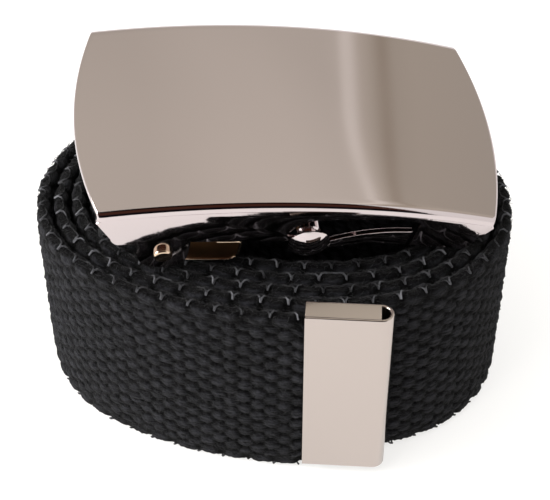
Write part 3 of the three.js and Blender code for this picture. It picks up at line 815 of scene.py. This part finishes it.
def buckle_shell():
    """Face and both long bends as one bent sheet: the section runs along the outer skin and back
    along the inner one, each point swept from end to end of the bowed face. The ends bulge, and
    their rims are rounded."""
    steps = 14
    angle = np.linspace(0, pi / 2, steps)
    flat = np.linspace(-1, 1, 65)[1:-1] * (HALF_WIDTH - BEND_RADIUS)
    w_mid = HALF_WIDTH - BEND_RADIUS
    w = np.concatenate([-w_mid * np.ones(steps), flat, w_mid * np.ones(steps)])
    cw = np.concatenate([-np.cos(angle), np.zeros(len(flat)), np.cos(angle)[::-1]])
    cn = np.concatenate([np.sin(angle), np.ones(len(flat)), np.sin(angle)[::-1]])
    rim = 0.22
    shares = np.linspace(-1, 1, 121)
    phi = np.linspace(0, pi / 2, 5)
    rows = []
    for p in phi[::-1]:
        rows.append((-1, rim * np.sin(p), rim * (1 - np.cos(p))))
    for share in shares[1:-1]:
        rows.append((share, 0.0, 0.0))
    for p in phi:
        rows.append((1, rim * np.sin(p), rim * (1 - np.cos(p))))
    grid = []
    for share, beyond, thin in rows:
        ring = []
        for skin in (0, 1):
            depth = thin if skin == 0 else SHEET - thin
            radius = BEND_RADIUS - depth
            ww = w + radius * cw
            nn = -BEND_RADIUS + radius * cn
            end_u = HALF_FACE + END_BULGE * (1 - (ww / HALF_WIDTH) ** 2) - rim
            uu = share * end_u + np.sign(share) * beyond
            points = np.stack([uu, ww, nn + face_bow(uu)], -1)
            ring.append(points if skin == 0 else points[::-1])
        grid.append(np.concatenate(ring))
    rings = np.stack(grid)
    middle = (rings[[0, -1]] + rings[[0, -1]][:, ::-1]) / 2
    rings = np.concatenate([middle[:1], rings, middle[1:]])
    points = in_buckle(rings.reshape(-1, 3)).reshape(rings.shape)
    faces = outward(points, grid_faces(len(rings), rings.shape[1], True))
    piece = new_piece("buckle_face", points, faces, NICKEL)
    return piece


def roller_place(angle):
    """Where the roller's middle stands in the wall after turning by an angle about its centre."""
    start = np.arctan2(TRAVEL_DEPTH - REST_DEPTH, REST_U - TRAVEL_U)
    return np.array([TRAVEL_U + TRAVEL_RADIUS * np.cos(start - angle),
                     -TRAVEL_DEPTH + TRAVEL_RADIUS * np.sin(start - angle)])


def wall_outline():
    """A wall seen from the side, once round: lower edge with the ear and the lobe, up the slit into
    the slot, round the slot, down the slit again, the right end, and back under the bend."""
    shoulder = face_bow(HALF_FACE + END_BULGE) - SHEET - 0.2
    corner = HALF_FACE - WALL_SLANT
    ear_l, ear_r = PIN_U - EAR_HALF, PIN_U + EAR_HALF
    tip = -PIN_DEPTH - EAR_TIP
    end_u = roller_place(TRAVEL)[0]
    right = end_u + SLOT_HALF
    lobe = SLOT_HALF + LOBE_WALL
    lobe_side = np.arccos(min(1, (WALL_DEPTH - REST_DEPTH) / lobe))
    foot = wall_edge(corner)
    corner_top = (-corner - WALL_LEAN, foot + WALL_CORNER)
    parts = [[(-HALF_FACE - WALL_LEAN, shoulder)], [corner_top]]
    parts.append(quad_curve(corner_top, (-corner, foot), (-corner + WALL_CORNER, foot), 7))
    parts.append([(ear_l, wall_edge(ear_l)), (ear_l, -PIN_DEPTH)])
    parts.append(quad_curve((ear_l, -PIN_DEPTH), (ear_l, tip), (PIN_U, tip), 10))
    parts.append(quad_curve((PIN_U, tip), (ear_r, tip), (ear_r, -PIN_DEPTH), 10))
    parts.append([(ear_r, wall_edge(ear_r))])
    parts.append(arc_points((REST_U, -REST_DEPTH), lobe, -pi / 2 - lobe_side, -LOBE_END, 16))
    slit_foot = right - SLIT - SLIT_LEAN
    rail = np.linspace(REST_U + LOBE_RUN, slit_foot, 8)
    parts.append(np.stack([rail, wall_edge(rail)], -1))
    angles = np.linspace(TRAVEL, 0, 16)
    lower = []
    for angle in angles:
        u, n = roller_place(angle)
        out = np.arctan2(n + TRAVEL_DEPTH, u - TRAVEL_U)
        lower.append((u - SLOT_HALF * np.cos(out), n - SLOT_HALF * np.sin(out)))
    lower = [p for p in lower if p[0] < right - SLIT - 0.4]
    join_height = np.interp(right - SLIT, [p[0] for p in lower[::-1]], [p[1] for p in lower[::-1]])
    join = (right - SLIT, join_height)
    parts.append([join])
    parts.append(lower)
    rest = roller_place(0)
    start = np.arctan2(lower[-1][1] - rest[1], lower[-1][0] - rest[0])
    parts.append(arc_points((REST_U, -REST_DEPTH), SLOT_HALF, start, -pi, 14)[1:])
    belly = (REST_U - SLOT_BELLY, -REST_DEPTH + SLOT_BELLY_RISE)
    parts.append([belly])
    parts.append(quad_curve(belly, (REST_U - 0.8 * SLOT_BELLY, -SLOT_TOP - SLOT_BELLY_RISE),
                            (REST_U + 0.2 * SLOT_BELLY, -SLOT_TOP - SLOT_SLOPE), 10))
    parts.append([(right - SLOT_END_SLOPE, -SLOT_TOP), (right, -SLOT_TOP - SLOT_END_DROP)])
    parts.append([(right, join[1]), (right - SLIT_LEAN, wall_edge(right))])
    rail = np.linspace(right + 1, corner - WALL_CORNER, 6)
    parts.append(np.stack([rail, wall_edge(rail)], -1))
    parts.append(quad_curve((corner - WALL_CORNER, foot), (corner, foot),
                            (corner + WALL_LEAN, foot + WALL_CORNER), 7))
    parts.append([(HALF_FACE + WALL_LEAN, shoulder)])
    top = np.linspace(HALF_FACE - 0.25, -HALF_FACE + 0.25, 61)
    parts.append(np.stack([top, face_bow(top) - BEND_RADIUS + 0.28], -1))
    return np.concatenate([np.asarray(p, float).reshape(-1, 2) for p in parts])


buckle_face = buckle_shell()
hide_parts("buckle_frame")
WALL = wall_outline()
walls = [rounded_plate(WALL, INNER_HALF, HALF_WIDTH, 0.18),
         rounded_plate(WALL, -HALF_WIDTH, -INNER_HALF, 0.18)]
plate_piece("buckle_walls", walls, in_buckle, NICKEL)


def lathe(name, profile, centre, material, body="belt", sides=64):
    """A turned piece: a half profile (radius, place across the buckle) carried round its axis."""
    profile = np.asarray(profile, float)
    angle = np.arange(sides) / sides * 2 * pi
    u = centre[0] + profile[:, :1] * np.cos(angle)
    n = centre[1] + profile[:, :1] * np.sin(angle)
    w = np.repeat(profile[:, 1:], sides, 1)
    rings = np.stack([u, w, n], -1)
    points = in_buckle(rings.reshape(-1, 3)).reshape(rings.shape)
    faces = outward(points, grid_faces(len(rings), sides, True))
    piece = new_piece(name, points, faces, material, body=body)
    bpy.context.view_layer.objects.active = piece
    piece.select_set(True)
    bpy.ops.object.shade_smooth_by_angle(angle=radians(40))
    piece.select_set(False)
    return piece


def mirrored(half):
    """A whole profile from its half at positive w."""
    half = np.asarray(half, float)
    other = half[::-1] * np.array([1, -1])
    return np.concatenate([other, half])


cap_in = HALF_WIDTH + RUNNING_GAP
bar_end = INNER_HALF - RUNNING_GAP
dome_radius = (CAP_RADIUS**2 + CAP_DOME**2) / (2 * CAP_DOME)
dome_edge = asin(CAP_RADIUS / dome_radius)
dome = [(dome_radius * sin(t), cap_in + 0.3 + dome_radius * (cos(t) - cos(dome_edge)))
        for t in np.linspace(dome_edge, 0, 14)]
half = [(ROLLER_RADIUS, 0.01), (ROLLER_RADIUS, bar_end - 0.3), (ROLLER_RADIUS - 0.3, bar_end),
        (JOURNAL_RADIUS, bar_end), (JOURNAL_RADIUS, cap_in), (CAP_RADIUS - 0.2, cap_in),
        (CAP_RADIUS, cap_in + 0.15), (CAP_RADIUS, cap_in + 0.3)] + dome[1:]
roller = lathe("roller_bar", mirrored(half), (REST_U, -REST_DEPTH), NICKEL, "roller")
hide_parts("roller")

pin_end = HALF_WIDTH + PIN_PROUD
half = [(PIN_RADIUS, 0.01), (PIN_RADIUS, pin_end - 0.45)]
half += [(PIN_RADIUS - 0.45 + 0.45 * cos(t), pin_end - 0.45 + 0.45 * sin(t))
         for t in np.linspace(0.3, pi / 2, 6)]
half += [(0.0, pin_end)]
pin = lathe("clamp_pin_round", mirrored(half), (PIN_U, -PIN_DEPTH), CLAMP_STEEL, sides=40)
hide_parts("clamp_pin")


def lever():
    """The clamp lever: two cheeks joined by a sheet that is bent up behind the pin to the jaw, and a
    thin rounded rim of lighter, glossier nickel along part of the top, the right end and the lower
    edge of each cheek, where the edges catch bright highlights."""
    cheek_out = INNER_HALF - RUNNING_GAP
    right = PIN_U + LEVER_REACH
    left = PIN_U - LEVER_EYE
    left_side, right_side = (left, -LEVER_BOTTOM + LEVER_CORNER), (right, -LEVER_BOTTOM + LEVER_CORNER)
    left_foot, right_foot = (left + LEVER_CORNER, -LEVER_BOTTOM), (right - LEVER_CORNER, -LEVER_BOTTOM)
    cheek = np.concatenate([
        [(right, -LEVER_TOP), (PIN_U + LEVER_EYE, -LEVER_TOP)],
        arc_points((PIN_U, -PIN_DEPTH), LEVER_EYE, pi / 2, pi, 10),
        [left_side],
        quad_curve(left_side, (left, -LEVER_BOTTOM), left_foot, 8),
        [right_foot],
        quad_curve(right_foot, (right, -LEVER_BOTTOM), right_side, 8),
    ])
    jaw_top = float(face_bow(PIN_U)) - SHEET - WEB_UNDER_FACE - WEB_THICK - RUNNING_GAP
    plate = np.array([
        right_foot, (right - LEVER_CORNER, -LEVER_BOTTOM + LEVER_SHEET),
        (left + LEVER_CORNER, -LEVER_BOTTOM + LEVER_SHEET),
        (left + LEVER_SHEET, -LEVER_BOTTOM + LEVER_CORNER),
        (left + LEVER_SHEET, -PIN_DEPTH + JAW_BACK), (PIN_U + JAW_TIP, jaw_top),
        (PIN_U - JAW_TIP, jaw_top), (left, -PIN_DEPTH + JAW_BACK + LEVER_SHEET), left_side,
        (left + LEVER_CORNER - LEVER_SHEET, -LEVER_BOTTOM)])
    parts = [rounded_plate(cheek, cheek_out - LEVER_SHEET, cheek_out, 0.16),
             rounded_plate(cheek, -cheek_out, -cheek_out + LEVER_SHEET, 0.16),
             rounded_plate(plate, -cheek_out + 0.1, cheek_out - 0.1, 0.1)]
    piece = plate_piece("clamp_lever_sheet", parts, in_buckle, LEVER_PAINTED_REFLECTION)
    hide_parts("clamp_lever")
    corner = quad_curve(right_side, (right, -LEVER_BOTTOM), right_foot, 10)
    rim = np.concatenate([
        [(PIN_U + LEVER_RIM_START, -LEVER_TOP), (PIN_U + LEVER_RIM_START + 0.3, -LEVER_TOP)],
        [(right - 0.4, -LEVER_TOP), (right, -LEVER_TOP - 0.4)],
        corner,
        [(left + LEVER_CORNER + 0.3, -LEVER_BOTTOM), left_foot],
    ])
    places = [side * (cheek_out - 0.05) for side in (-1, 1)]
    rims = [np.stack([rim[:, 0], np.full(len(rim), w), rim[:, 1]], -1) for w in places]
    rims = np.stack([in_buckle(line) for line in rims])
    girth = np.full(len(rim), LEVER_RIM)
    girth[[0, -1]] = 0.01
    points, faces = tubes(rims, girth, 10)
    new_piece("clamp_lever_rims", points, faces, CLAMP_STEEL)


lever()


def tip_piece():
    """The tip: a plate folded round the web's end (its outline seen from above, carried up the
    web), and a flap over each edge of the web, the upper one sloping towards the front."""
    inner = WEB_THICK / 2 + TIP_FIT
    outer = inner + TIP_SHEET
    straight = TIP_LENGTH - outer
    bend = arc_points((straight, 0), outer, -pi / 2, pi / 2, 22)
    back = arc_points((straight, 0), inner, pi / 2, -pi / 2, 22)
    fold = np.concatenate([[(0, -outer)], bend, [(0, outer)], [(0, inner)], back, [(0, -inner)]])
    first = roll_points([TIP_START])[0]
    ahead = first - roll_points([TIP_START + 0.004])[0]
    ahead /= np.linalg.norm(ahead)
    flap = np.array([(0, -outer + 0.12), (TIP_LENGTH - TIP_FLAP_SHORT, -outer + 0.12),
                     (TIP_LENGTH - TIP_FLAP_SHORT, WEB_THICK / 2), (0, WEB_THICK / 2)])
    long_flap = np.where(flap == TIP_LENGTH - TIP_FLAP_SHORT, TIP_LENGTH - TIP_TOP_FLAP_SHORT, flap)
    top_flap = rounded_plate(long_flap, TIP_TOP - TIP_SHEET, TIP_TOP, 0.12)
    top_flap[..., 1] += TOP_FLAP_LIFT - TOP_FLAP_SLOPE * (WEB_THICK / 2 - top_flap[..., 2])
    parts = [rounded_plate(fold, TIP_RAISED, TIP_TOP, 0.24),
             rounded_plate(flap, TIP_RAISED, TIP_RAISED + TIP_SHEET, 0.12), top_flap]

    def place(points):
        """Points along the tip, up it and through it, placed in the row frame."""
        x = points[:, 0] * ahead[0] - points[:, 2] * ahead[1]
        y = points[:, 0] * ahead[1] + points[:, 2] * ahead[0]
        return np.stack([x + first[0], y + first[1], points[:, 1]], -1) + SHIFT

    piece = plate_piece("tip_fold", parts, place, TIP_NICKEL)
    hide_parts("tip")


tip_piece()


# Studio: a pale floor, a beige ceiling with one lighter lane, and soft lamps


def card(name, centre, right, up, material, sway=None):
    """A flat card from its middle and its two half sides, in metres; sway bends the pattern on it
    sideways from row to row."""
    c, r, u = (np.asarray(v, float) for v in (centre, right, up))
    v = np.linspace(0, 1, 2 if sway is None else 53)
    x, y = np.meshgrid([-1.0, 1.0], 2 * v - 1)
    points = (c + x[..., None] * r + y[..., None] * u) / MM
    uv = np.stack([(x + 1) / 2 + (0 if sway is None else sway(v)[:, None]), (y + 1) / 2], -1)
    faces = grid_faces(len(v), 2, False)
    piece = new_piece(name, points, faces, material, uv.reshape(-1, 2), body=None, smooth=False)
    return piece


def floor_material():
    """Matt white paper."""
    material, tree = new_material("white_paper_floor")
    principled(tree, {"Base Color": srgb("#9c9b9a"), "Roughness": 0.9, "Specular IOR Level": 0.1,
                      "Emission Color": srgb("#fffefc"), "Emission Strength": 0.7})
    return material


card("studio_floor", (0, 0, -0.0002), (3, 0, 0), (0, 3, 0), floor_material())
ceiling = glow("ceiling_card", [
    (0.0, "#a19d93"), (0.36, "#9e9a91"), (0.45, "#a5a198"), (0.52, "#a7a39a"), (0.60, "#a6a299"),
    (0.617, "#a8a49b"), (0.628, "#bcb9b1"), (0.637, "#bab7af"), (0.65, "#a39e94"), (0.666, "#9a958a"),
    (0.684, "#898276"), (0.69, "#898276"), (0.706, "#959085"), (0.74, "#989388"), (1.0, "#938f86")],
    2.08, cross=[(0.369, "#ffffff"), (0.429, "#f7f7f7"), (0.479, "#eeeeee")])


def lane_sway(v):
    """The lighter lane runs aslant: its pattern is pushed sideways between two rows of the card."""
    share = np.clip((1.4 * v - 0.3 - 0.25) / 0.09, 0, 1)
    return 0.04 * share * share * (3 - 2 * share)


top = card("studio_ceiling", (0.2, 0.4, 0.8), (1.0, 0, 0), (0, 0.7, 0), ceiling, lane_sway)
top.visible_diffuse = False
top.visible_camera = False
dusk = glow("dark_side_card", [(0.0, "#0b0b10"), (0.25, "#120f14"), (0.42, "#54352b"), (0.62, "#4a2c22"),
                              (0.8, "#0c0a0e"), (1.0, "#08080b")], 1.0, 1)
dark = card("studio_dark_side", (-0.12, -0.46, 0.415), (0.62, 0, 0), (0, 0.16, 0.395), dusk)
dark.visible_diffuse = False
dark.visible_camera = False
dark.visible_shadow = False

world = bpy.data.worlds.new("studio_world")
bpy.context.scene.world = world
world.use_nodes = True
world.node_tree.nodes["Background"].inputs["Color"].default_value = srgb("#fffefc")
world.node_tree.nodes["Background"].inputs["Strength"].default_value = 1.1


def soft_lamp(name, place, target, size, power, colour="#ffffff"):
    """An area lamp at a place in metres, aimed at a target."""
    data = bpy.data.lights.new(name, "AREA")
    data.shape = "RECTANGLE"
    data.size, data.size_y = size
    data.energy = power
    data.color = srgb(colour)[:3]
    lamp = bpy.data.objects.new(name, data)
    bpy.context.scene.collection.objects.link(lamp)
    way = np.array(place, float) - np.array(target, float)
    way /= np.linalg.norm(way)
    right = np.cross([0, 0, 1.0], way)
    right = right / np.linalg.norm(right) if np.linalg.norm(right) > 1e-6 else np.array([1.0, 0, 0])
    up = np.cross(way, right)
    matrix = np.eye(4)
    matrix[:3, 0], matrix[:3, 1], matrix[:3, 2], matrix[:3, 3] = right, up, way, place
    lamp.matrix_world = Matrix(matrix.tolist())
    return lamp


soft_lamp("key_lamp", (-0.5, -0.35, 0.9), (0, 0, 0.02), (0.5, 0.5), 6.0)
soft_lamp("left_lamp", (-0.75, -0.15, 0.35), (0, 0, 0.02), (0.4, 0.4), 11.5)

# Camera, at the photograph's viewing angle

camera_data = bpy.data.cameras.new("camera")
camera_data.sensor_fit = "HORIZONTAL"
camera_data.sensor_width = 36.0
camera_data.lens = 80.84
camera_data.clip_start = 0.01
camera = bpy.data.objects.new("camera", camera_data)
bpy.context.scene.collection.objects.link(camera)
EYE = np.array([-0.47, -198.46, 178.2]) + SHIFT
LOOK = np.array([-0.47, 5.34, 19.0]) + SHIFT
back = (EYE - LOOK) / np.linalg.norm(EYE - LOOK)
side = np.cross([0, 0, 1.0], back)
side /= np.linalg.norm(side)
rise = np.cross(back, side)
pose = np.eye(4)
pose[:3, 0], pose[:3, 1], pose[:3, 2], pose[:3, 3] = side, rise, back, EYE * MM
camera.matrix_world = Matrix(pose.tolist())
bpy.context.scene.camera = camera
bpy.context.scene.view_settings.view_transform = "Standard"
